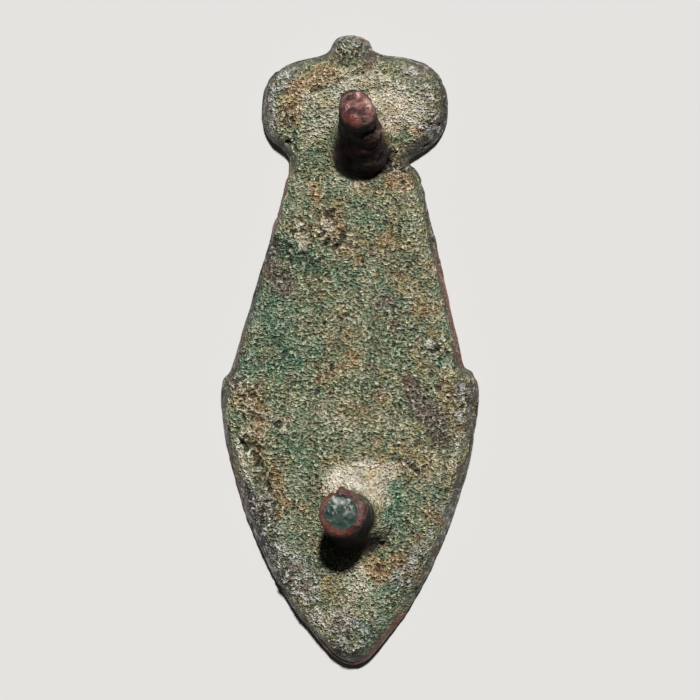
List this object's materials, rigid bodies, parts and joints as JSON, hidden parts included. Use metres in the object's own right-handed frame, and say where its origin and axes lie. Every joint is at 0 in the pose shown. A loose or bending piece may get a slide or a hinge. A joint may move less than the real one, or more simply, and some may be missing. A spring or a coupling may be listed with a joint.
{
  "type": "strap mount",
  "caption": "Cast bronze strap mount: a flat leaf-shaped plate with a knobbed oval head, and rivet pegs standing on its back.",
  "frame": {"origin": "on the plane of the flat front face, under the middle of the part's length and width", "axes": "+X across the plate, +Y along it from the pointed tip to the knob, +Z from the front face through the back, the way the pegs stand"},
  "size_m": [0.0206, 0.05, 0.0077],
  "materials": {
    "patinated_bronze": "rough green and ochre patina with copper-red worn edges"
  },
  "bodies": {
    "root": {"strap_mount": "patinated_bronze"}
  },
  "joints": []
}
